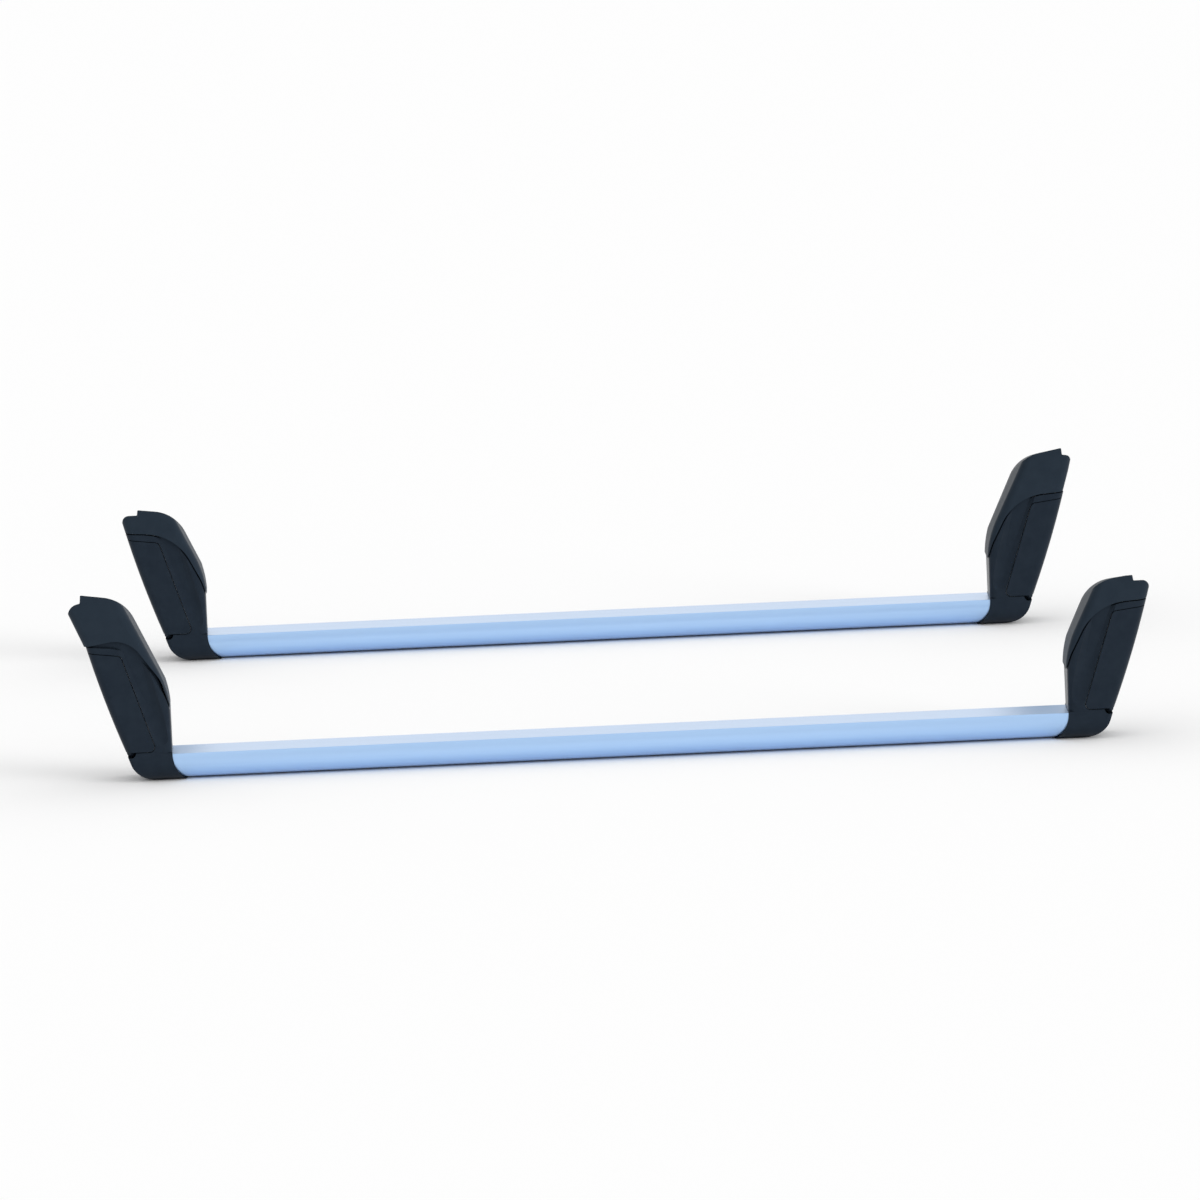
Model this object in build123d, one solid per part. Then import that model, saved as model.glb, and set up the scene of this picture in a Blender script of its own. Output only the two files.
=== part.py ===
from build123d import *
import os
from math import cos, radians, sin, sqrt, tan

os.makedirs("parts", exist_ok=True)

# Sizes in millimetres. The pair lies on its load faces, feet up: X runs along the bars,
# -Y is the front bar, and Z is 0 where the elbows rest.

# Bars
BAR_SPACING = 700.0
DECK_HALF_LENGTH = {"front": 446.2, "rear": 412.0}
BAR_HEIGHT = 26.0
HULL_RADIUS = 18.0
CROWN_HALF = 8.0
BAR_WALL = 2.0
DECK_EDGE_R = 1.0
SLOT_MOUTH_HALF = 5.0
SLOT_LIP = 2.4
SLOT_HALF = 9.5
SLOT_DEPTH = 5.0
STRIP_CLEARANCE = 0.25
STRIP_SHORT = 3.0
BAR_IN_ELBOW = 16.0

# Elbow and leg, measured outward from the line where the bar's deck meets the foot
ELBOW_WALL = 1.8
ELBOW_R = 30.0
ELBOW_ARC_X = 14.3
ELBOW_OVERLAP = 13.0
OUTER_LEAN = 21.3
OUTER_R = 1100.0
INNER_X = 0.6
INNER_LEAN = 25.3
INNER_POINT = (20.0, 131.6)
INNER_BLEND_R = 110.0
CREASE_Z = 28.8
LEG_FLARE = 5.5
LEG_EDGE_R = 8.0
LEG_TOP = 215.0
HOUSING_WALL = 3.0
RIM_THICK = 5.0
COLLAR_WALL = 2.5
BAR_CLEARANCE = 0.3

# Line where the skirt meets the housing
SEAM = dict(corner=(30.7, 136.9), corner_r=55.0, bend=(5.5, 86.5), bend_r=60.0, rise=0.069, steep=3.1)
SEAM_GAP = (-1.0, 1.2)
RAISED_EDGE = dict(corner=(40.0, 148.0), corner_r=30.0, bend=(8.5, 103.0), bend_r=40.0, rise=-0.165, steep=3.6)

# Scoop in the front and back of the leg
SCOOP_R = 16.0
SCOOP_LOW = (10.5, 44.0)
SCOOP_HIGH = (36.0, 128.0)
SCOOP_DEPTH_LOW = 2.4
SCOOP_DEPTH_HIGH = 5.0
SCOOP_SEGMENT_OVER = 30.0

# Access cover
COVER_WALL = 2.6
COVER_GAP = 0.8
COVER_LOW_Z = 30.0
COVER_SIDE_LOW = (20.0, 45.2)
COVER_SIDE_HIGH = (46.0, 127.1)
COVER_TOP_Z = 130.6
COVER_TOP_RISE = 0.125
COVER_CORNER_R = 6.0
HINGE_Z = 30.3
HINGE_INSET = 4.6
KNUCKLE_R = 4.0
KNUCKLE_NOSE = 3.6
KNUCKLE_NOSE_R = 0.6
PIN_HALF = 20.0
LUG_HALF = 8.0
KNUCKLE_SIDE_GAP = 0.5
TROUGH_CLEARANCE = 1.2
HINGE_PIN_R = 1.5
HINGE_PIN_CLEARANCE = 0.35
COVER_RIB_Z = (62.0, 96.0)
COVER_RIB_THICK = 2.0
COVER_RIB_DEPTH = 6.0

# Skirts: two are tall and two short, and one of the tall ones sits raised and splayed
SKIRT_WALL = 3.0
COLLAR_CLEARANCE = 0.4
ROOF_SLOPE = 9.6
SOLE = 3.0
PAD_CLEARANCE = 0.4
SOLE_CORNER_R = 38.0
LIP_OUTSET = 1.8
SKIRTS = {
    "short": dict(step=(68.0, 160.1), rise=7.0, drop=5.6, fall=0.0, lip_r=7.0, splay=0.0, swell=1.4,
                  edge=SEAM, gap=SEAM_GAP, collar=10.0, collar_top=136.0, plate_z=143.0, bolt_x=57.0),
    "tall": dict(step=(80.0, 181.8), rise=10.0, drop=7.1, fall=6.0, lip_r=6.0, splay=0.0, swell=1.4,
                 edge=SEAM, gap=SEAM_GAP, collar=10.0, collar_top=136.0, plate_z=160.0, bolt_x=63.0),
    "raised": dict(step=(84.5, 187.4), rise=8.0, drop=8.1, fall=12.0, lip_r=12.0, splay=9.0, swell=0.4,
                   edge=RAISED_EDGE, gap=(0.0, 0.0), collar=22.0, collar_top=150.0, plate_z=160.0,
                   bolt_x=63.0),
}
FEET = {
    "front_left": ("front", -1, "raised"),
    "front_right": ("front", 1, "short"),
    "rear_left": ("rear", -1, "short"),
    "rear_right": ("rear", 1, "tall"),
}

# Bracket
TONGUE_LENGTH = 56.0
TONGUE_HALF = 15.0
TONGUE_CLEARANCE = 0.2
SPINE_HALF = 20.0
SPINE_THICK = 8.0
SPINE_GAP = 0.8
SPINE_RUN = 0.156
RIB_OUT = 16.0
RIB_THICK = 5.0
PLATE_THICK = 5.0
PLATE_STEP = 4.0
PLATE_OUT = 15.0
PLATE_HALF = 23.0
PLATE_CORNER_R = 6.0

# Fasteners
BAR_SCREW_X = 9.6
BAR_SCREW_Y = 10.0
BAR_SCREW_R = 3.0
BAR_SCREW_LENGTH = 14.0
HOUSING_SCREW_Z = 64.0
HOUSING_SCREW_Y = 9.0
HOUSING_SCREW_R = 2.1
HOUSING_SCREW_LENGTH = 20.0
BOSS_R = 5.0
BOLT_R = 4.0
BOLT_WAIST_R = 3.3
BOLT_HOLE_CLEARANCE = 0.6
BOLT_FLANGE_R = 8.5
BOLT_FLANGE = 2.0
BOLT_HEAD_R = 6.5
BOLT_HEAD = 8.0
BOLT_KEY_ACROSS = 6.0
BOLT_BELOW_SOLE = 1.5
BOLT_TRAVEL = 14.0
WASHER_R = 8.0
WASHER_THICK = 1.5
WASHER_FLOAT = 0.3
WASHER_CLEARANCE = 0.3
WELL_R = 9.5
SCREW_HEAD_RATIO = 1.73
SCREW_HEAD_TALL = 1.1
SCREW_RECESS_SHARE = 0.55

BAR_Z = ELBOW_WALL
DECK_Z = BAR_Z + BAR_HEIGHT
HULL_CENTRE_Z = BAR_Z + HULL_RADIUS
HULL_OUTER_R = HULL_RADIUS + ELBOW_WALL
CREASE_HALF = CROWN_HALF + sqrt(HULL_OUTER_R**2 - (CREASE_Z - HULL_CENTRE_Z) ** 2)
HULL_HALF = CROWN_HALF + HULL_OUTER_R
ARC_END = (
    ELBOW_ARC_X + ELBOW_R * cos(radians(OUTER_LEAN)),
    ELBOW_R - ELBOW_R * sin(radians(OUTER_LEAN)),
)
OUTER_CENTRE = (
    ARC_END[0] - OUTER_R * cos(radians(OUTER_LEAN)),
    ARC_END[1] + OUTER_R * sin(radians(OUTER_LEAN)),
)
FAR = 150.0


def outer_x(z):
    """Outer edge of the leg at height z, in the front view."""
    return OUTER_CENTRE[0] + sqrt(OUTER_R**2 - (OUTER_CENTRE[1] - z) ** 2)


def inner_x(z):
    """Leaning part of the leg's inner edge at height z, in the front view."""
    return INNER_POINT[0] + (z - INNER_POINT[1]) * tan(radians(INNER_LEAN))


def leg_half(z):
    """Half depth of the leg, front to back, at height z."""
    return CREASE_HALF + (z - CREASE_Z) * tan(radians(LEG_FLARE))


HINGE = (outer_x(HINGE_Z) - HINGE_INSET, HINGE_Z)
KNUCKLE_END = leg_half(HINGE_Z) - LEG_EDGE_R - KNUCKLE_SIDE_GAP + sqrt(
    LEG_EDGE_R**2 - (LEG_EDGE_R - HINGE_INSET + KNUCKLE_R) ** 2
)


def along_y(face, half=FAR):
    """A front-view face made into a solid of the given half depth."""
    return extrude(Plane.XZ * face, amount=half, both=True)


def along_x(face, half=FAR):
    """A side-view face made into a solid of the given half length."""
    return extrude(Plane.YZ * face, amount=half, both=True)


def rod(radius, start, end):
    """A round rod between two points."""
    run = Vector(end) - Vector(start)
    at = Plane(origin=start, z_dir=run)
    return at * Cylinder(radius, run.length, align=(Align.CENTER, Align.CENTER, Align.MIN))


def block(x0, x1, y0, y1, z0, z1):
    """A box between two corners."""
    return Pos((x0 + x1) / 2, (y0 + y1) / 2, (z0 + z1) / 2) * Box(x1 - x0, y1 - y0, z1 - z0)


def both_sides(shape):
    """A shape and its mirror image across the foot's middle plane."""
    return shape + mirror(shape, about=Plane.XZ)


def hull(radius, low, top):
    """Side view of the bar's outside, or of a wall round it, from its crown up to the height top."""
    half = CROWN_HALF + sqrt(radius**2 - (top - HULL_CENTRE_Z) ** 2)
    right = ThreePointArc(
        (CROWN_HALF, low),
        (CROWN_HALF + radius * cos(radians(30)), HULL_CENTRE_Z - radius * sin(radians(30))),
        (half, top),
    )
    left = mirror(right, about=Plane.YZ)
    base = Line((-CROWN_HALF, low), (CROWN_HALF, low))
    deck = Line((-half, top), (half, top))
    return make_face(right.edges() + left.edges() + base.edges() + deck.edges())


def leg(inset=0.0, splay=0.0, swell=0.0):
    """The leg's envelope above the crease, set in all round by inset.

    A splayed leg leans further out above the rim, by splay at the top of the tall skirts.
    A swollen one stands proud on its inner side, by swell.
    """
    low = CREASE_Z - inset
    start = INNER_X - swell
    inner_top = inner_x(LEG_TOP) - swell
    inner = FilletPolyline(
        (start, low),
        (start, INNER_POINT[1] - (INNER_POINT[0] - INNER_X) / tan(radians(INNER_LEAN))),
        (inner_top, LEG_TOP),
        radius=[INNER_BLEND_R],
    )
    bend = COVER_TOP_Z
    outer = ThreePointArc(
        (outer_x(low), low), (outer_x((low + bend) / 2), (low + bend) / 2), (outer_x(bend), bend)
    )
    end = (outer_x(LEG_TOP) + splay * 1.8, LEG_TOP)
    if splay:
        upper = Line((outer_x(bend), bend), end)
    else:
        middle = (bend + LEG_TOP) / 2
        upper = ThreePointArc((outer_x(bend), bend), (outer_x(middle), middle), end)
    cap = Line((inner_top, LEG_TOP), end)
    base = Line((start, low), (outer_x(low), low))
    front = make_face(inner.edges() + outer.edges() + upper.edges() + cap.edges() + base.edges())
    if inset:
        front = offset(front, amount=-inset, kind=Kind.INTERSECTION)
    slack = inset / cos(radians(LEG_FLARE))
    low_half = leg_half(CREASE_Z) - slack
    top_half = leg_half(LEG_TOP) - slack
    side = make_face(
        Polyline(
            (-low_half, CREASE_Z), (low_half, CREASE_Z), (top_half, LEG_TOP), (-top_half, LEG_TOP),
            close=True,
        ).edges()
    )
    body = along_y(front) & along_x(side)
    top = body.bounding_box().max.Z
    long_edges = [
        edge
        for face in body.faces()
        if abs(face.normal_at().Y) > 0.9
        for edge in face.edges()
        if CREASE_Z + 1 < edge.center().Z < top - 1
    ]
    return fillet(long_edges, radius=max(LEG_EDGE_R - inset, 1.5))


def below_seam(line=SEAM, shift=(0.0, 0.0)):
    """Everything under the line where skirt and housing meet, or under another line, shifted."""
    corner_x, corner_z = line["corner"]
    bend_x, bend_z = line["bend"]
    low_x = INNER_X - 12.0
    outline = FilletPolyline(
        (low_x, -40),
        (FAR, -40),
        (FAR, corner_z + (FAR - corner_x) * line["rise"]),
        (corner_x, corner_z),
        (bend_x, bend_z),
        (low_x, bend_z - (bend_x - low_x) * line["steep"]),
        radius=[0, 0, 0, line["corner_r"], line["bend_r"], 0],
        close=True,
    )
    return along_y(Pos(*shift) * make_face(outline.edges()))


def under_sole(kind, drop=0.0):
    """Everything under the skirt's sole, or a drop below it; the sole follows the roof's slope."""
    step_x, step_z = kind["step"]
    rise = tan(radians(kind["rise"]))
    lean = tan(radians(INNER_LEAN))
    start = INNER_POINT[0] - 1.0 - kind["swell"]
    corner_z = (step_z - rise * (step_x - start + INNER_POINT[1] * lean)) / (1 - rise * lean)
    corner_x = start + (corner_z - INNER_POINT[1]) * lean
    lip_z = step_z - kind["drop"]
    reach = outer_x(lip_z) + LIP_OUTSET + kind["splay"] * 0.9
    lip_end = lip_z - (reach - step_x) * tan(radians(kind["fall"]))
    outline = FilletPolyline(
        (corner_x - 150 * lean, corner_z - 150),
        (corner_x, corner_z),
        (step_x, step_z),
        (step_x + 0.8, lip_z),
        (reach, lip_end),
        (reach - 12, lip_end - 40),
        (FAR, lip_end - 60),
        (FAR, corner_z - 150),
        radius=[0, SOLE_CORNER_R, 1.0, 1.0, kind["lip_r"], 0, 0, 0],
        close=True,
    )
    tilt = Pos(0, 0, step_z) * Rot(-ROOF_SLOPE, 0, 0) * Pos(0, 0, -step_z)
    return Pos(-drop, 0, -drop) * tilt * along_y(make_face(outline.edges()))


def scoops(extra=0.0):
    """The long hollows in the leg's front and back, grown by extra."""
    run = (SCOOP_HIGH[0] - SCOOP_LOW[0]) / (SCOOP_HIGH[1] - SCOOP_LOW[1])
    top_z = SCOOP_HIGH[1] + SCOOP_SEGMENT_OVER
    deepen = (SCOOP_DEPTH_HIGH - SCOOP_DEPTH_LOW) / (SCOOP_HIGH[1] - SCOOP_LOW[1])
    low = (SCOOP_LOW[0], -(leg_half(SCOOP_LOW[1]) + SCOOP_R - SCOOP_DEPTH_LOW), SCOOP_LOW[1])
    high_y = -(leg_half(top_z) + SCOOP_R - SCOOP_DEPTH_LOW - deepen * (top_z - SCOOP_LOW[1]))
    high = (SCOOP_LOW[0] + run * (top_z - SCOOP_LOW[1]), high_y, top_z)
    return both_sides(rod(SCOOP_R + extra, low, high) + Pos(*low) * Sphere(SCOOP_R + extra))


def cover_window(gap=0.0):
    """The opening that the cover fills, or the cover's own outline with a gap left round it."""
    slope = (COVER_SIDE_HIGH[0] - COVER_SIDE_LOW[0]) / (COVER_SIDE_HIGH[1] - COVER_SIDE_LOW[1])
    low_x = COVER_SIDE_LOW[0] + slope * (COVER_LOW_Z - COVER_SIDE_LOW[1])
    top_x = COVER_SIDE_LOW[0] + slope * (COVER_TOP_Z - COVER_SIDE_LOW[1])
    outline = FilletPolyline(
        (low_x, COVER_LOW_Z),
        (FAR, COVER_LOW_Z),
        (FAR, COVER_TOP_Z + (FAR - top_x) * COVER_TOP_RISE),
        (top_x, COVER_TOP_Z),
        radius=[COVER_CORNER_R, 0, 0, COVER_CORNER_R],
        close=True,
    )
    face = make_face(outline.edges())
    if gap:
        face = offset(face, amount=-gap, kind=Kind.INTERSECTION)
    return along_y(face)


def elbow_front(top=CREASE_Z, curved_joint=True):
    """Front view of the elbow up to the height top, its end on the bar curved or straight."""
    high = (INNER_X, top)
    if curved_joint:
        joint = ThreePointArc((-ELBOW_OVERLAP, 0), (INNER_X - 3.6, DECK_Z * 0.45), high)
    else:
        joint = Line((-ELBOW_OVERLAP, 0), high)
    base = Line((-ELBOW_OVERLAP, 0), (ELBOW_ARC_X, 0))
    bend = ThreePointArc(
        (ELBOW_ARC_X, 0),
        (ELBOW_ARC_X + ELBOW_R * sin(radians(35)), ELBOW_R - ELBOW_R * cos(radians(35))),
        ARC_END,
    )
    rest = Line(ARC_END, (outer_x(top), top))
    cap = Line(high, (outer_x(top), top))
    return make_face(joint.edges() + base.edges() + bend.edges() + rest.edges() + cap.edges())


def spine_x(z):
    """Inner side of the bracket's spine at height z."""
    return BAR_IN_ELBOW + SPINE_GAP + SPINE_RUN * (z - DECK_Z)


def screw_plane():
    """Plane on the spine's inner side at the height of the housing screws, facing inward."""
    at = (spine_x(HOUSING_SCREW_Z), 0, HOUSING_SCREW_Z)
    return Plane(origin=at, x_dir=(0, 1, 0), z_dir=(-1, 0, SPINE_RUN))


def cap_screw(radius, length):
    """A pan-head screw, its shank down from the origin and its head above."""
    head_r = radius * SCREW_HEAD_RATIO
    head = radius * SCREW_HEAD_TALL
    down = (Align.CENTER, Align.CENTER, Align.MAX)
    up = (Align.CENTER, Align.CENTER, Align.MIN)
    shank = chamfer(Cylinder(radius, length, align=down).edges().sort_by(Axis.Z)[0], radius * 0.25)
    cap = Cylinder(head_r, head, align=up)
    cap = fillet(cap.edges().sort_by(Axis.Z)[-1], head * 0.35)
    key = Pos(0, 0, head) * extrude(
        RegularPolygon(radius * 0.75, 6), amount=-head * SCREW_RECESS_SHARE
    )
    return shank + cap - key


def elbow():
    """The elbow's envelope, from its rest up to the crease."""
    body = along_y(elbow_front()) & along_x(hull(HULL_OUTER_R, 0, CREASE_Z))
    reach = outer_x(CREASE_Z)
    back = Pos((reach - 60) / 2, 0) * Rectangle(reach + 60, 2 * HULL_HALF)
    plan = fillet(back.vertices().group_by(Axis.X)[-1], LEG_EDGE_R)
    return body & extrude(plan, amount=CREASE_Z)


def make_housing(kind):
    """Foot housing: elbow, leg, rim and the collar inside the skirt."""
    scoop = scoops()
    body = elbow() + ((leg() & below_seam()) - scoop)
    inset = SKIRT_WALL + COLLAR_CLEARANCE
    collar = leg(inset) & below_seam(shift=(SEAM_GAP[0] * kind["collar"] * 0.6, kind["collar"]))
    collar &= under_sole(kind, SOLE + 2 * COLLAR_CLEARANCE)
    body += collar & block(-FAR, FAR, -FAR, FAR, 0, kind["collar_top"])
    room = (leg(HOUSING_WALL) & below_seam(shift=(RIM_THICK * 0.5, -RIM_THICK))) + leg(inset + COLLAR_WALL)
    room -= scoops(HOUSING_WALL)
    inside = offset(
        elbow_front(CREASE_Z + 2 * HOUSING_WALL, False), amount=-HOUSING_WALL, kind=Kind.INTERSECTION
    )
    low_room = along_y(inside) & along_x(hull(HULL_OUTER_R - HOUSING_WALL, HOUSING_WALL, CREASE_Z + 0.5))
    low_room &= block(INNER_X + HOUSING_WALL, FAR, -FAR, FAR, 0, CREASE_Z + 0.5)
    body -= room
    body -= low_room
    pocket = hull(HULL_RADIUS + BAR_CLEARANCE, BAR_Z - BAR_CLEARANCE, DECK_Z + BAR_CLEARANCE)
    body -= Pos(BAR_IN_ELBOW + BAR_CLEARANCE - 60, 0, 0) * extrude(Plane.YZ * pocket, amount=60)
    body -= cover_window()
    span = HULL_HALF + 2
    body -= both_sides(
        rod(KNUCKLE_R + TROUGH_CLEARANCE, (HINGE[0], LUG_HALF, HINGE[1]), (HINGE[0], span, HINGE[1]))
    )
    lug = rod(KNUCKLE_R, (HINGE[0], -LUG_HALF, HINGE[1]), (HINGE[0], LUG_HALF, HINGE[1]))
    lug += block(
        HINGE[0] - KNUCKLE_R, HINGE[0] + KNUCKLE_R * 0.6, -LUG_HALF, LUG_HALF, HOUSING_WALL, HINGE[1]
    ) & along_y(elbow_front())
    lug += block(
        HINGE[0] - KNUCKLE_R, HINGE[0] + KNUCKLE_R * 0.6, -LUG_HALF, LUG_HALF, CREASE_Z - 1, HINGE[1]
    )
    body += lug
    body -= rod(HINGE_PIN_R, (HINGE[0], -LUG_HALF - 1, HINGE[1]), (HINGE[0], LUG_HALF + 1, HINGE[1]))
    at = screw_plane()
    for y in (-HOUSING_SCREW_Y, HOUSING_SCREW_Y):
        boss = at * Pos(y, 0, 0) * Cylinder(BOSS_R, 60, align=(Align.CENTER, Align.CENTER, Align.MIN))
        body += boss & leg(HOUSING_WALL * 0.5)
        hole = Cylinder(HOUSING_SCREW_R, HOUSING_SCREW_LENGTH, align=(Align.CENTER, Align.CENTER, Align.MIN))
        body -= at * Pos(y, 0, -6) * hole
    return body


def make_cover():
    """Access cover: a shell that fills the window, with two hinge knuckles and two ribs."""
    window = cover_window(COVER_GAP)
    outside = leg()
    inside = leg(COVER_WALL)
    shell = (outside - inside) & window
    for z in COVER_RIB_Z:
        slab = block(-FAR, FAR, -FAR, FAR, z, z + COVER_RIB_THICK)
        shell += ((outside - leg(COVER_WALL + COVER_RIB_DEPTH)) & window) & slab
    near = rod(KNUCKLE_R + TROUGH_CLEARANCE, (HINGE[0], -LUG_HALF - KNUCKLE_SIDE_GAP, HINGE[1]),
               (HINGE[0], LUG_HALF + KNUCKLE_SIDE_GAP, HINGE[1]))
    shell -= near
    start = LUG_HALF + KNUCKLE_SIDE_GAP
    knuckle = rod(KNUCKLE_R, (HINGE[0], start, HINGE[1]), (HINGE[0], KNUCKLE_END, HINGE[1]))
    at = Plane(origin=(HINGE[0], KNUCKLE_END, HINGE[1]), z_dir=(0, 1, 0))
    nose = Cone(KNUCKLE_R, KNUCKLE_NOSE_R, KNUCKLE_NOSE, align=(Align.CENTER, Align.CENTER, Align.MIN))
    shell += both_sides(knuckle + at * nose)
    reach = PIN_HALF + 0.5
    bore = HINGE_PIN_R + HINGE_PIN_CLEARANCE
    return shell - rod(bore, (HINGE[0], -reach, HINGE[1]), (HINGE[0], reach, HINGE[1]))


def make_hinge_pin():
    """Pin of the cover's hinge, held in the housing's lug."""
    return rod(HINGE_PIN_R, (HINGE[0], -PIN_HALF, HINGE[1]), (HINGE[0], PIN_HALF, HINGE[1]))


def make_skirt(kind):
    """Soft boot at the free end, with a sole that follows the roof."""
    body = leg(0.0, kind["splay"], kind["swell"]) - below_seam(kind["edge"], kind["gap"])
    body &= under_sole(kind)
    body -= leg(SKIRT_WALL, kind["splay"]) & under_sole(kind, SOLE)
    return body - rod(WELL_R, (kind["bolt_x"], 0, kind["plate_z"]), (kind["bolt_x"], 0, LEG_TOP))


def make_pad(kind):
    """Firm pad between the bracket's plate and the boot's sole."""
    body = leg(SKIRT_WALL + PAD_CLEARANCE, kind["splay"]) & under_sole(kind, SOLE + PAD_CLEARANCE)
    body &= block(-FAR, FAR, -FAR, FAR, kind["plate_z"], LEG_TOP)
    return body - rod(WELL_R, (kind["bolt_x"], 0, kind["plate_z"] - 1), (kind["bolt_x"], 0, LEG_TOP))


def make_bracket(kind):
    """Load-bearing core: tongue in the bar, ribbed spine and base plate."""
    low_z = BAR_Z + SLOT_LIP + SLOT_DEPTH + BAR_WALL + TONGUE_CLEARANCE
    top_z = DECK_Z - BAR_WALL - TONGUE_CLEARANCE
    foot_x = spine_x(DECK_Z)
    plate_low = kind["plate_z"] - PLATE_THICK
    head_x = spine_x(plate_low)
    back = foot_x + SPINE_THICK
    tongue = block(BAR_IN_ELBOW - TONGUE_LENGTH, back, -TONGUE_HALF, TONGUE_HALF, low_z, top_z)
    spine = Polyline(
        (foot_x, low_z),
        (foot_x, DECK_Z),
        (head_x, plate_low),
        (head_x + SPINE_THICK, plate_low),
        (back, DECK_Z),
        (back, low_z),
        close=True,
    )
    body = tongue + along_y(make_face(spine.edges()), SPINE_HALF)
    rib = Polyline(
        (foot_x, low_z),
        (back, low_z),
        (head_x + SPINE_THICK + RIB_OUT, plate_low),
        (head_x, plate_low),
        (foot_x, DECK_Z),
        close=True,
    )
    wing = along_y(make_face(rib.edges()), RIB_THICK / 2)
    body += both_sides(Pos(0, SPINE_HALF - RIB_THICK / 2, 0) * wing)
    reach = kind["bolt_x"] + PLATE_OUT
    start = head_x + PLATE_STEP
    plan = Pos((start + reach) / 2, 0) * Rectangle(reach - start, 2 * PLATE_HALF)
    plan = fillet(plan.vertices(), PLATE_CORNER_R)
    body += Pos(0, 0, plate_low) * extrude(plan, amount=PLATE_THICK)
    x = kind["bolt_x"]
    body -= rod(BOLT_R + BOLT_HOLE_CLEARANCE, (x, 0, plate_low - 1), (x, 0, LEG_TOP))
    for y in (-BAR_SCREW_Y, BAR_SCREW_Y):
        body -= rod(BAR_SCREW_R, (BAR_SCREW_X, y, DECK_Z - BAR_SCREW_LENGTH), (BAR_SCREW_X, y, DECK_Z))
    at = screw_plane()
    for y in (-HOUSING_SCREW_Y, HOUSING_SCREW_Y):
        body -= at * Pos(y, 0, 0) * Cylinder(HOUSING_SCREW_R, 40)
    return body


def make_bar_screws():
    """The two screws that hold the bar's deck to the bracket's tongue."""
    screw = cap_screw(BAR_SCREW_R, BAR_SCREW_LENGTH)
    return [Pos(BAR_SCREW_X, y, DECK_Z) * screw for y in (-BAR_SCREW_Y, BAR_SCREW_Y)]


def make_housing_screws():
    """The two screws through the spine into the housing's bosses."""
    at = screw_plane()
    screw = Rot(180, 0, 0) * cap_screw(HOUSING_SCREW_R, HOUSING_SCREW_LENGTH - 6)
    seat = Pos(0, 0, -SPINE_THICK / sqrt(1 + SPINE_RUN**2))
    return [at * Pos(y, 0, 0) * seat * screw for y in (-HOUSING_SCREW_Y, HOUSING_SCREW_Y)]


def bolt_heights(kind):
    """Heights of the bolt's flange top, its washer's underside and its tip, drawn back."""
    flange_z = kind["plate_z"] - PLATE_THICK - BOLT_TRAVEL - WASHER_FLOAT
    washer_z = kind["plate_z"] + WASHER_FLOAT
    step_x, step_z = kind["step"]
    sole_z = step_z - (step_x - kind["bolt_x"]) * tan(radians(kind["rise"]))
    return flange_z, washer_z, sole_z - BOLT_BELOW_SOLE


def make_bolt(kind):
    """Captive fixing bolt, drawn back into the foot."""
    flange_z, washer_z, tip_z = bolt_heights(kind)
    x = kind["bolt_x"]
    waist = rod(BOLT_WAIST_R, (x, 0, flange_z), (x, 0, washer_z + WASHER_THICK))
    thread = rod(BOLT_R, (x, 0, washer_z + WASHER_THICK), (x, 0, tip_z))
    thread = chamfer(thread.edges().sort_by(Axis.Z)[-1], 0.8)
    flange = rod(BOLT_FLANGE_R, (x, 0, flange_z - BOLT_FLANGE), (x, 0, flange_z))
    head = rod(BOLT_HEAD_R, (x, 0, flange_z - BOLT_FLANGE - BOLT_HEAD), (x, 0, flange_z - BOLT_FLANGE))
    head = fillet(head.edges().sort_by(Axis.Z)[0], 0.8)
    key = Pos(x, 0, flange_z - BOLT_FLANGE - BOLT_HEAD) * extrude(
        RegularPolygon(BOLT_KEY_ACROSS / 2, 6, major_radius=False), amount=BOLT_HEAD * 0.6
    )
    return waist + thread + flange + head - key


def make_washer(kind):
    """Washer pushed onto the bolt's waist, which keeps the bolt in the plate."""
    _, washer_z, _ = bolt_heights(kind)
    x = kind["bolt_x"]
    ring = rod(WASHER_R, (x, 0, washer_z), (x, 0, washer_z + WASHER_THICK))
    bore = BOLT_WAIST_R + WASHER_CLEARANCE
    return ring - rod(bore, (x, 0, washer_z - 1), (x, 0, washer_z + WASHER_THICK + 1))


def make_bar(half):
    """Bar extrusion with hollow sides and a T-slot in the load face."""
    section = hull(HULL_RADIUS, BAR_Z, DECK_Z)
    section = fillet(section.vertices().group_by(Axis.Y)[-1], DECK_EDGE_R)
    hollow = offset(hull(HULL_RADIUS, BAR_Z, DECK_Z), amount=-BAR_WALL, kind=Kind.INTERSECTION)
    slot_top = BAR_Z + SLOT_LIP + SLOT_DEPTH
    wall_half = SLOT_HALF + BAR_WALL
    box_top = slot_top + BAR_WALL
    hollow -= Pos(0, box_top / 2) * Rectangle(2 * wall_half, box_top)
    mouth = Pos(0, BAR_Z + SLOT_LIP / 2) * Rectangle(2 * SLOT_MOUTH_HALF, SLOT_LIP)
    channel = Pos(0, slot_top - SLOT_DEPTH / 2) * Rectangle(2 * SLOT_HALF, SLOT_DEPTH)
    body = extrude(Plane.YZ * (section - hollow - mouth - channel), amount=half + BAR_IN_ELBOW, both=True)
    for side in (-1, 1):
        for y in (-BAR_SCREW_Y, BAR_SCREW_Y):
            x = side * (half + BAR_SCREW_X)
            body -= rod(BAR_SCREW_R, (x, y, DECK_Z - BAR_WALL - 0.1), (x, y, DECK_Z + 1))
    return body


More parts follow.
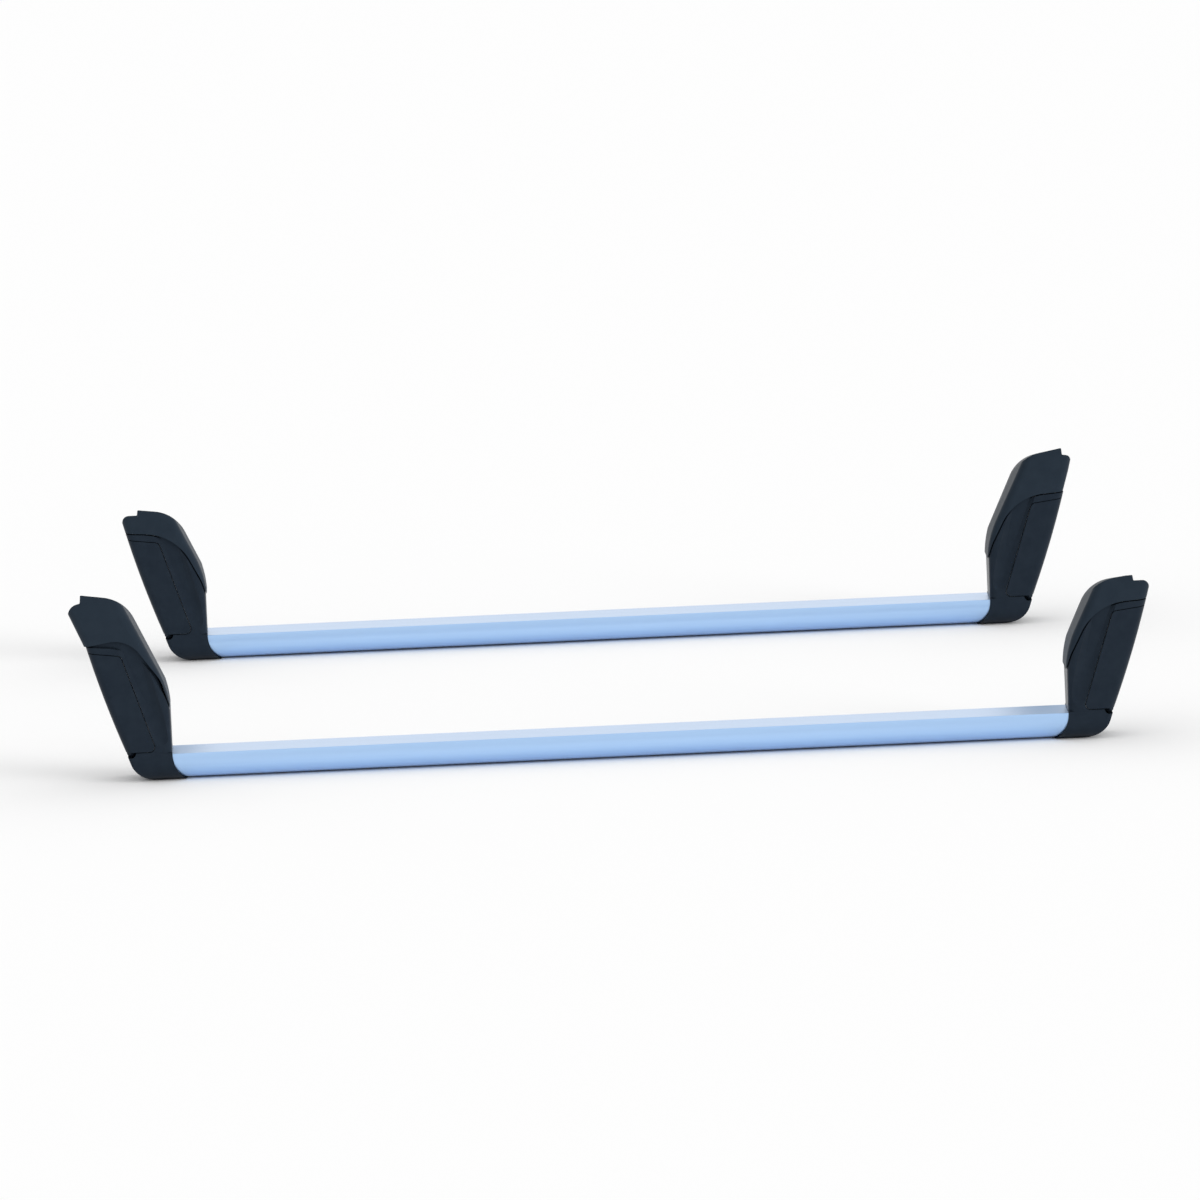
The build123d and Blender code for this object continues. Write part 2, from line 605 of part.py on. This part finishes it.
def make_strip(half):
    """Rubber infill of the T-slot, flush with the load face."""
    c = STRIP_CLEARANCE
    slot_top = BAR_Z + SLOT_LIP + SLOT_DEPTH
    stem = Pos(0, (BAR_Z + slot_top) / 2) * Rectangle(2 * (SLOT_MOUTH_HALF - c), slot_top - BAR_Z)
    foot = Pos(0, BAR_Z + SLOT_LIP + SLOT_DEPTH / 4) * Rectangle(2 * (SLOT_HALF - c), SLOT_DEPTH / 2)
    return extrude(Plane.YZ * (stem + foot), amount=half + BAR_IN_ELBOW - STRIP_SHORT, both=True)


def place(shape, foot):
    """A right-hand foot's piece moved to the named foot."""
    bar, side, _ = FEET[foot]
    y = -BAR_SPACING / 2 if bar == "front" else BAR_SPACING / 2
    moved = Pos(DECK_HALF_LENGTH[bar], 0, 0) * shape
    if side < 0:
        moved = mirror(moved, about=Plane.YZ)
    return Pos(0, y, 0) * moved


pieces = {}
for bar, half in DECK_HALF_LENGTH.items():
    at = Pos(0, -BAR_SPACING / 2 if bar == "front" else BAR_SPACING / 2, 0)
    pieces[f"bar_extrusion_{bar}"] = at * make_bar(half)
    pieces[f"slot_strip_{bar}"] = at * make_strip(half)

shared = {
    "access_cover": make_cover(),
    "hinge_pin": make_hinge_pin(),
    "bar_screws": make_bar_screws(),
    "housing_screws": make_housing_screws(),
}
by_kind = {
    name: {
        "foot_housing": make_housing(kind),
        "skirt": make_skirt(kind),
        "base_pad": make_pad(kind),
        "support_bracket": make_bracket(kind),
        "fixing_bolt": make_bolt(kind),
        "retaining_washer": make_washer(kind),
    }
    for name, kind in SKIRTS.items()
}
for foot, (_, _, kind) in FEET.items():
    for piece, shape in {**shared, **by_kind[kind]}.items():
        if isinstance(shape, list):
            shape = Compound([place(one, foot) for one in shape])
        else:
            shape = place(shape, foot)
        pieces[f"{piece}_{foot}"] = shape

# The origin goes under the middle of the whole pair, at the height of the elbows' rest
boxes = [shape.bounding_box() for shape in pieces.values()]
middle_x = (min(box.min.X for box in boxes) + max(box.max.X for box in boxes)) / 2
middle_y = (min(box.min.Y for box in boxes) + max(box.max.Y for box in boxes)) / 2
for name, shape in pieces.items():
    export_step(Pos(-middle_x, -middle_y, 0) * shape, f"parts/{name}.step")
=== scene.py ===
"""Looks of a pair of roof crossbars that lie upside down with their feet in the air."""

import logging
import math
from dataclasses import dataclass
from enum import Enum

import bpy
from mathutils import Matrix, Vector

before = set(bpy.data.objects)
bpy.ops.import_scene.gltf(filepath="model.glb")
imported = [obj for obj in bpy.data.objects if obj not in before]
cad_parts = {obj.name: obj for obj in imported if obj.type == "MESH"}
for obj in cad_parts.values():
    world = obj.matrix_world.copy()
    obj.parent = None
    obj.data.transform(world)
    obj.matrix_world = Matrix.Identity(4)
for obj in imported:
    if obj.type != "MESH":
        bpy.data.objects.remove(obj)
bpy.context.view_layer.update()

log = logging.getLogger("crossbars")

Colour = tuple[float, float, float]
Triple = tuple[float, float, float]
Span = tuple[float, float]

TONE_STOPS: Span = (0.3, 0.7)
NOISE_ROUGHNESS = 0.6
FINE_OCTAVES = 3.0
BROAD_OCTAVES = 2.0
BROAD_SHARE = 0.04
COAT_ROUGHNESS = 0.2
# Ambient occlusion that paints shade into seams and steps by dulling their shine.
SEAM_SHADE_SAMPLES = 8
SEAM_SHADE_SPAN: Span = (0.45, 0.9)


class Row(Enum):
    """The two bars."""

    FRONT = "front"
    REAR = "rear"


class Corner(Enum):
    """The four feet."""

    FRONT_LEFT = "front_left"
    FRONT_RIGHT = "front_right"
    REAR_LEFT = "rear_left"
    REAR_RIGHT = "rear_right"


class Shader:
    """A material under construction, with short calls that add and join nodes."""

    def __init__(self, name: str) -> None:
        """Start from a plain surface.

        Args:
            name: The material's name.
        """
        self.material = bpy.data.materials.new(name)
        self.material.use_nodes = True
        self.tree = self.material.node_tree
        self.surface = self.tree.nodes["Principled BSDF"]

    def add(self, kind: str, **values: object) -> bpy.types.Node:
        """Add a node.

        Args:
            kind: The node's type name.
            values: Input sockets by name, with underscores for blanks.

        Returns:
            The new node.
        """
        node = self.tree.nodes.new(kind)
        for socket, value in values.items():
            node.inputs[socket.replace("_", " ")].default_value = value
        return node

    def link(self, source: bpy.types.NodeSocket, target: bpy.types.NodeSocket) -> None:
        """Join an output to an input."""
        self.tree.links.new(source, target)

    def noise(self, per_metre: Triple, detail: float) -> bpy.types.NodeSocket:
        """Add a noise pattern fixed to the piece.

        Args:
            per_metre: Cells per metre along X, Y and Z.
            detail: Octaves of finer noise.

        Returns:
            The pattern's value, from 0 to 1.
        """
        place = self.add("ShaderNodeTexCoord")
        mapping = self.add("ShaderNodeMapping", Scale=per_metre)
        pattern = self.add(
            "ShaderNodeTexNoise", Scale=1.0, Detail=detail, Roughness=NOISE_ROUGHNESS
        )
        self.link(place.outputs["Object"], mapping.inputs["Vector"])
        self.link(mapping.outputs["Vector"], pattern.inputs["Vector"])
        return pattern.outputs["Fac"]

    def colours(self, factor: bpy.types.NodeSocket, low: Colour, high: Colour) -> None:
        """Colour the surface between two colours by a pattern.

        Args:
            factor: The pattern.
            low: Colour where the pattern is low.
            high: Colour where the pattern is high.
        """
        ramp = self.add("ShaderNodeValToRGB")
        for stop, place, colour in zip(ramp.color_ramp.elements, TONE_STOPS, (low, high)):
            stop.position = place
            stop.color = (*colour, 1.0)
        self.link(factor, ramp.inputs["Fac"])
        self.link(ramp.outputs["Color"], self.surface.inputs["Base Color"])

    def roughness(self, factor: bpy.types.NodeSocket, low: float, high: float) -> None:
        """Vary the surface's roughness by a pattern.

        Args:
            factor: The pattern.
            low: Roughness where the pattern is low.
            high: Roughness where the pattern is high.
        """
        spread = self.add("ShaderNodeMapRange", To_Min=low, To_Max=high)
        self.link(factor, spread.inputs["Value"])
        self.link(spread.outputs["Result"], self.surface.inputs["Roughness"])

    def relief(self, factor: bpy.types.NodeSocket, height: float) -> None:
        """Raise the surface by a pattern.

        Args:
            factor: The pattern.
            height: Height of the pattern's full range, in metres.
        """
        bump = self.add("ShaderNodeBump", Strength=1.0, Distance=height)
        self.link(factor, bump.inputs["Height"])
        self.link(bump.outputs["Normal"], self.surface.inputs["Normal"])

    def paint_seam_shade(self, reach: float, specular: float) -> None:
        """Paint shade into seams and steps by taking away their shine where neighbouring surfaces
        close in.

        Args:
            reach: How far a neighbouring surface counts, in metres.
            specular: The shine in the open.
        """
        nook = self.add("ShaderNodeAmbientOcclusion", Distance=reach)
        nook.samples = SEAM_SHADE_SAMPLES
        closed, clear = SEAM_SHADE_SPAN
        shine = self.add(
            "ShaderNodeMapRange", From_Min=closed, From_Max=clear, To_Max=specular
        )
        self.link(nook.outputs["AO"], shine.inputs["Value"])
        self.link(shine.outputs["Result"], self.surface.inputs["Specular IOR Level"])


@dataclass(frozen=True)
class Finish:
    """A surface finish: two close tones, a roughness range and a grain.

    Grain is in cells per metre along X, Y and Z. Relief and the reach of the painted seam shade
    are in metres.
    """

    name: str
    slot: str
    tones: tuple[Colour, Colour]
    roughness: Span
    grain: Triple
    relief: float
    metallic: float = 0.0
    specular: float = 0.5
    # Tint of the reflections; a blue one is painted reflection of a bluish sky.
    painted_reflection_tint: Colour = (1.0, 1.0, 1.0)
    coat: float = 0.0
    painted_shade_reach: float = 0.0

    def material(self) -> bpy.types.Material:
        """Make the procedural material.

        Returns:
            The finished material.
        """
        shader = Shader(self.name)
        sockets = shader.surface.inputs
        sockets["Metallic"].default_value = self.metallic
        sockets["Specular IOR Level"].default_value = self.specular
        sockets["Specular Tint"].default_value = (*self.painted_reflection_tint, 1.0)
        sockets["Coat Weight"].default_value = self.coat
        sockets["Coat Roughness"].default_value = COAT_ROUGHNESS
        fine = shader.noise(self.grain, FINE_OCTAVES)
        broad = shader.noise(tuple(step * BROAD_SHARE for step in self.grain), BROAD_OCTAVES)
        shader.colours(broad, *self.tones)
        shader.roughness(fine, *self.roughness)
        shader.relief(fine, self.relief)
        # Painted shade: seams and steps lose their shine where neighbouring surfaces close in.
        if self.painted_shade_reach:
            shader.paint_seam_shade(self.painted_shade_reach, self.specular)
        return shader.material


ANODISED = Finish(
    name="satin_anodised_aluminium",
    slot="anodised_bar",
    tones=((0.42, 0.63, 0.94), (0.45, 0.67, 0.98)),
    roughness=(0.34, 0.44),
    grain=(12.0, 2600.0, 2600.0),
    relief=0.000006,
    metallic=1.0,
    coat=1.0,
)
# Blue specular tint and blue cast of the near-black tones: painted reflection of a bluish sky in
# the satin black.
PLASTIC = Finish(
    name="satin_black_plastic",
    slot="black_plastic",
    tones=((0.011, 0.016, 0.024), (0.014, 0.020, 0.029)),
    roughness=(0.28, 0.38),
    grain=(2200.0, 2200.0, 2200.0),
    relief=0.00002,
    specular=0.14,
    painted_reflection_tint=(0.52, 0.74, 1.0),
    # painted shade in seams and steps, reaching 3 mm
    painted_shade_reach=0.003,
)
# Blue specular tint and blue cast of the near-black tones: painted reflection of a bluish sky in
# the rubber.
RUBBER = Finish(
    name="black_rubber",
    slot="black_rubber",
    tones=((0.014, 0.021, 0.031), (0.017, 0.025, 0.036)),
    roughness=(0.42, 0.54),
    grain=(1600.0, 1600.0, 1600.0),
    relief=0.00003,
    specular=0.16,
    painted_reflection_tint=(0.55, 0.77, 1.0),
    # painted shade in seams and steps, reaching 3 mm
    painted_shade_reach=0.003,
)
PAD = Finish(
    name="dark_grey_pad",
    slot="pad_plastic",
    tones=((0.030, 0.032, 0.035), (0.040, 0.042, 0.046)),
    roughness=(0.5, 0.65),
    grain=(1200.0, 1200.0, 1200.0),
    relief=0.00003,
    specular=0.35,
)
# The bracket's tones are far darker than bare cast aluminium: painted shade, so that the bracket
# seen through the seams reads dark.
CAST = Finish(
    name="cast_aluminium_with_painted_shade",
    slot="cast_bracket",
    tones=((0.26, 0.27, 0.29), (0.34, 0.35, 0.37)),
    roughness=(0.42, 0.58),
    grain=(900.0, 900.0, 900.0),
    relief=0.00006,
    metallic=1.0,
)
NYLON = Finish(
    name="white_nylon",
    slot="nylon_washer",
    tones=((0.70, 0.69, 0.65), (0.76, 0.75, 0.71)),
    roughness=(0.4, 0.5),
    grain=(1500.0, 1500.0, 1500.0),
    relief=0.00001,
)
STEEL = Finish(
    name="zinc_plated_steel",
    slot="plated_steel",
    tones=((0.58, 0.60, 0.63), (0.68, 0.69, 0.71)),
    roughness=(0.24, 0.36),
    grain=(700.0, 700.0, 700.0),
    relief=0.00001,
    metallic=1.0,
)


class Wardrobe:
    """Makes each finish once and puts it on CAD nodes."""

    def __init__(self) -> None:
        """Start with no material made."""
        self.made: dict[str, bpy.types.Material] = {}

    def put_on(self, node: str, finish: Finish) -> None:
        """Dress a CAD node.

        Args:
            node: The node's name.
            finish: Its finish.
        """
        if finish.name not in self.made:
            self.made[finish.name] = finish.material()
        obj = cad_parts[node]
        obj.data.materials.clear()
        obj.data.materials.append(self.made[finish.name])
        log.info("%s: %s", node, finish.name)


@dataclass
class Bar:
    """One bar: the extrusion and the infill of its slot."""

    row: Row

    def dress(self, wardrobe: Wardrobe) -> None:
        """Give the bar's pieces their finishes.

        Args:
            wardrobe: Where the materials come from.
        """
        wardrobe.put_on(f"bar_extrusion_{self.row.value}", ANODISED)
        wardrobe.put_on(f"slot_strip_{self.row.value}", RUBBER)


@dataclass
class Foot:
    """One foot with its housing, cover, skirt and the works inside."""

    corner: Corner

    def dress(self, wardrobe: Wardrobe) -> None:
        """Give the foot's pieces their finishes.

        Args:
            wardrobe: Where the materials come from.
        """
        finishes = {
            "foot_housing": PLASTIC,
            "access_cover": PLASTIC,
            "skirt": RUBBER,
            "base_pad": PAD,
            "support_bracket": CAST,
            "retaining_washer": NYLON,
            "hinge_pin": STEEL,
            "bar_screws": STEEL,
            "housing_screws": STEEL,
            "fixing_bolt": STEEL,
        }
        for piece, finish in finishes.items():
            wardrobe.put_on(f"{piece}_{self.corner.value}", finish)


@dataclass
class Studio:
    """White floor, soft light and the camera.

    Lengths are in metres, angles in degrees, lens and sensor in millimetres.
    """

    floor_half: float = 30.0
    floor_tone: float = 0.98
    floor_roughness: float = 0.9
    sky_from: Triple = (0.50, 0.10, 0.86)
    sky_edge: Span = (-0.50, 0.02)
    sky_range: Span = (0.08, 0.92)
    key_from: Triple = (0.80, -0.52, 0.28)
    key_strength: float = 1.2
    key_spread: float = 35.0
    yaw: float = 1.384
    elevation: float = 9.47
    roll: float = -2.38
    distance: float = 12.326
    lens: float = 360.56
    sensor: float = 36.0
    clip_end: float = 200.0
    target: Triple = (0.0002, 0.0, 0.10096)

    def floor(self) -> None:
        """Lay the plain pale floor at the height where the elbows rest."""
        half = self.floor_half
        corners = [(-half, -half, 0.0), (half, -half, 0.0), (half, half, 0.0), (-half, half, 0.0)]
        mesh = bpy.data.meshes.new("floor")
        mesh.from_pydata(corners, [], [(0, 1, 2, 3)])
        obj = bpy.data.objects.new("floor", mesh)
        bpy.context.scene.collection.objects.link(obj)
        shader = Shader("white_floor")
        tone = self.floor_tone
        shader.surface.inputs["Roughness"].default_value = self.floor_roughness
        shader.surface.inputs["Specular IOR Level"].default_value = 0.0
        shader.surface.inputs["Base Color"].default_value = (tone, tone, tone, 1.0)
        mesh.materials.append(shader.material)

    def sky(self) -> None:
        """Light the scene from an even white room that darkens to one side."""
        world = bpy.data.worlds.new("soft_room")
        world.use_nodes = True
        bpy.context.scene.world = world
        tree = world.node_tree
        direction = tree.nodes.new("ShaderNodeTexCoord")
        towards = tree.nodes.new("ShaderNodeVectorMath")
        towards.operation = "DOT_PRODUCT"
        towards.inputs[1].default_value = Vector(self.sky_from).normalized()
        spread = tree.nodes.new("ShaderNodeMapRange")
        for end, edge, strength in zip(("Min", "Max"), self.sky_edge, self.sky_range):
            spread.inputs[f"From {end}"].default_value = edge
            spread.inputs[f"To {end}"].default_value = strength
        light = tree.nodes["Background"]
        light.inputs["Color"].default_value = (1.0, 1.0, 1.0, 1.0)
        tree.links.new(direction.outputs["Generated"], towards.inputs[0])
        tree.links.new(towards.outputs["Value"], spread.inputs["Value"])
        tree.links.new(spread.outputs["Result"], light.inputs["Strength"])

    def key(self) -> None:
        """Add the low, soft light from the front right, kept out of reflections."""
        lamp = bpy.data.lights.new("key", "SUN")
        lamp.energy = self.key_strength
        lamp.angle = math.radians(self.key_spread)
        obj = bpy.data.objects.new("key", lamp)
        obj.visible_glossy = False
        obj.rotation_euler = Vector(self.key_from).to_track_quat("Z", "Y").to_euler()
        bpy.context.scene.collection.objects.link(obj)

    def camera(self) -> None:
        """Place the camera at the photo's viewing angle."""
        turn = math.radians(self.yaw)
        rise = math.radians(self.elevation)
        tip = math.radians(self.roll)
        reach = math.cos(rise)
        ahead = Vector((math.sin(turn) * reach, math.cos(turn) * reach, -math.sin(rise)))
        level = Vector((math.cos(turn), -math.sin(turn), 0.0))
        upright = level.cross(ahead)
        right = level * math.cos(tip) + upright * math.sin(tip)
        up = upright * math.cos(tip) - level * math.sin(tip)
        lens = bpy.data.cameras.new("camera")
        lens.lens = self.lens
        lens.sensor_width = self.sensor
        lens.clip_end = self.clip_end
        obj = bpy.data.objects.new("camera", lens)
        basis = Matrix((right, up, -ahead)).transposed()
        place = Vector(self.target) - ahead * self.distance
        obj.matrix_world = Matrix.Translation(place) @ basis.to_4x4()
        bpy.context.scene.collection.objects.link(obj)
        bpy.context.scene.camera = obj

    def build(self) -> None:
        """Set up floor, light and camera."""
        bpy.context.scene.view_settings.view_transform = "Standard"
        self.floor()
        self.sky()
        self.key()
        self.camera()
        log.info("studio ready")


def main() -> None:
    """Dress the pair and set up the studio."""
    logging.basicConfig(level=logging.INFO, format="%(name)s: %(message)s")
    wardrobe = Wardrobe()
    for row in Row:
        Bar(row).dress(wardrobe)
    for corner in Corner:
        Foot(corner).dress(wardrobe)
    Studio().build()


if __name__ == "__main__":
    main()
